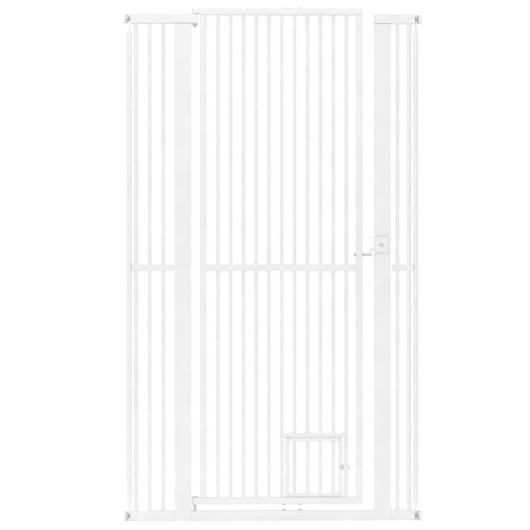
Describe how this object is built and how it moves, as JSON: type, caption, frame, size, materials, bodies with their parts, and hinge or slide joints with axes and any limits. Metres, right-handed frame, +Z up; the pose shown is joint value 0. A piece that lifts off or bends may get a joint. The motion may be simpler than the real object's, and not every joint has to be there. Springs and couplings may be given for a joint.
{
  "type": "pet gate",
  "caption": "Tall white pressure-fit pet gate of steel tube: side panels, a self-closing walk-through door with a lift latch, and a small latched pet door in its lower corner.",
  "frame": {"origin": "on the floor under the base rail, in the middle of the gate's width and depth", "axes": "+X along the gate to the latch side, +Y away from the front, +Z up"},
  "size_m": [1.0466, 0.0515, 1.8035],
  "materials": {
    "coat": "satin powder coat",
    "white_plastic": "moulded, lightly textured",
    "bush_plastic": "turned nylon",
    "dark_steel": "dull zinc plate",
    "zinc_steel": "bright zinc plate"
  },
  "bodies": {
    "frame": {"left_post": "coat", "right_post": "coat", "left_top_rail": "coat", "right_top_rail": "coat", "side_base_rails": "coat", "threshold_rails": "coat", "threshold_connector": "coat", "threshold_bolts": "dark_steel", "side_mid_rails": "coat", "left_panel_bars": "coat", "right_panel_bars": "coat", "gap_filler_tubes": "coat", "rail_end_plugs": "white_plastic", "post_foot_plugs": "white_plastic", "top_hinge_bush": "bush_plastic", "bottom_hinge_bush": "bush_plastic", "latch_cover": "coat", "latch_pivot_screw": "dark_steel", "latch_pivot_cap": "white_plastic", "latch_pivot_bush": "zinc_steel"},
    "door": {"door_hinge_stile": "coat", "door_latch_stile": "coat", "door_top_rail_left": "coat", "door_top_rail_right": "coat", "door_bottom_rail_left": "coat", "door_bottom_rail_right": "coat", "door_mid_rails": "coat", "door_left_bars": "coat", "door_right_bars": "coat", "door_short_bars": "coat", "pet_door_crossbar": "coat", "door_rail_inserts": "zinc_steel", "door_joint_bolts": "zinc_steel", "door_end_plugs": "white_plastic", "top_hinge_lug": "coat", "top_hinge_bolt": "dark_steel", "bottom_hinge_pin": "dark_steel", "hinge_cone_nuts": "dark_steel", "latch_stud": "dark_steel", "latch_stud_nuts": "dark_steel", "pet_latch_housing": "white_plastic"},
    "pet_door": {"pet_door_frame": "coat", "pet_door_bars": "coat", "pet_door_pins": "zinc_steel", "pet_door_striker": "zinc_steel"},
    "pet_latch": {"pet_latch_bolt": "zinc_steel", "pet_latch_knob": "white_plastic"},
    "latch": {"latch_lever": "coat"},
    "adjuster_top_left": {"spindle_top_left": "dark_steel", "wall_cup_top_left": "white_plastic"},
    "wheel_top_left": {"hand_wheel_top_left": "dark_steel"},
    "adjuster_bottom_left": {"spindle_bottom_left": "dark_steel", "wall_cup_bottom_left": "white_plastic"},
    "wheel_bottom_left": {"hand_wheel_bottom_left": "dark_steel"},
    "adjuster_top_right": {"spindle_top_right": "dark_steel", "wall_cup_top_right": "white_plastic"},
    "wheel_top_right": {"hand_wheel_top_right": "dark_steel"},
    "adjuster_bottom_right": {"spindle_bottom_right": "dark_steel", "wall_cup_bottom_right": "white_plastic"},
    "wheel_bottom_right": {"hand_wheel_bottom_right": "dark_steel"}
  },
  "joints": [
    {"name": "door_swing", "type": "hinge", "parent": "frame", "child": "door", "pos_m": [-0.2735, 0, 0.9], "axis": [0, 0, 1], "range_deg": [-90, 90], "stiffness_Nm_per_rad": 1.5},
    {"name": "pet_door_swing", "type": "hinge", "parent": "door", "child": "pet_door", "pos_m": [0.0505, 0, 0.186], "axis": [0, 0, 1], "range_deg": [-90, 90]},
    {"name": "pet_latch_pull", "type": "slide", "parent": "door", "child": "pet_latch", "axis": [1, 0, 0], "range_m": [0, 0.009]},
    {"name": "latch_lift", "type": "hinge", "parent": "frame", "child": "latch", "pos_m": [0.3815, 0, 0.969], "axis": [0, 1, 0], "range_deg": [0, 30]},
    {"name": "spindle_out_top_left", "type": "slide", "parent": "frame", "child": "adjuster_top_left", "axis": [-1, 0, 0], "range_m": [0, 0.015]},
    {"name": "wheel_turn_top_left", "type": "hinge", "parent": "frame", "child": "wheel_top_left", "pos_m": [-0.5095, 0, 1.763], "axis": [1, 0, 0], "range_deg": [0, 1800]},
    {"name": "spindle_out_bottom_left", "type": "slide", "parent": "frame", "child": "adjuster_bottom_left", "axis": [-1, 0, 0], "range_m": [0, 0.015]},
    {"name": "wheel_turn_bottom_left", "type": "hinge", "parent": "frame", "child": "wheel_bottom_left", "pos_m": [-0.5095, 0, 0.017], "axis": [1, 0, 0], "range_deg": [0, 1800]},
    {"name": "spindle_out_top_right", "type": "slide", "parent": "frame", "child": "adjuster_top_right", "axis": [1, 0, 0], "range_m": [0, 0.015]},
    {"name": "wheel_turn_top_right", "type": "hinge", "parent": "frame", "child": "wheel_top_right", "pos_m": [0.5095, 0, 1.763], "axis": [-1, 0, 0], "range_deg": [0, 1800]},
    {"name": "spindle_out_bottom_right", "type": "slide", "parent": "frame", "child": "adjuster_bottom_right", "axis": [1, 0, 0], "range_m": [0, 0.015]},
    {"name": "wheel_turn_bottom_right", "type": "hinge", "parent": "frame", "child": "wheel_bottom_right", "pos_m": [0.5095, 0, 0.017], "axis": [-1, 0, 0], "range_deg": [0, 1800]}
  ],
  "couplings": [
    {"joint": "wheel_turn_top_left", "follows": "spindle_out_top_left", "rad_per_m": 2094.4},
    {"joint": "wheel_turn_bottom_left", "follows": "spindle_out_bottom_left", "rad_per_m": 2094.4},
    {"joint": "wheel_turn_top_right", "follows": "spindle_out_top_right", "rad_per_m": 2094.4},
    {"joint": "wheel_turn_bottom_right", "follows": "spindle_out_bottom_right", "rad_per_m": 2094.4}
  ]
}
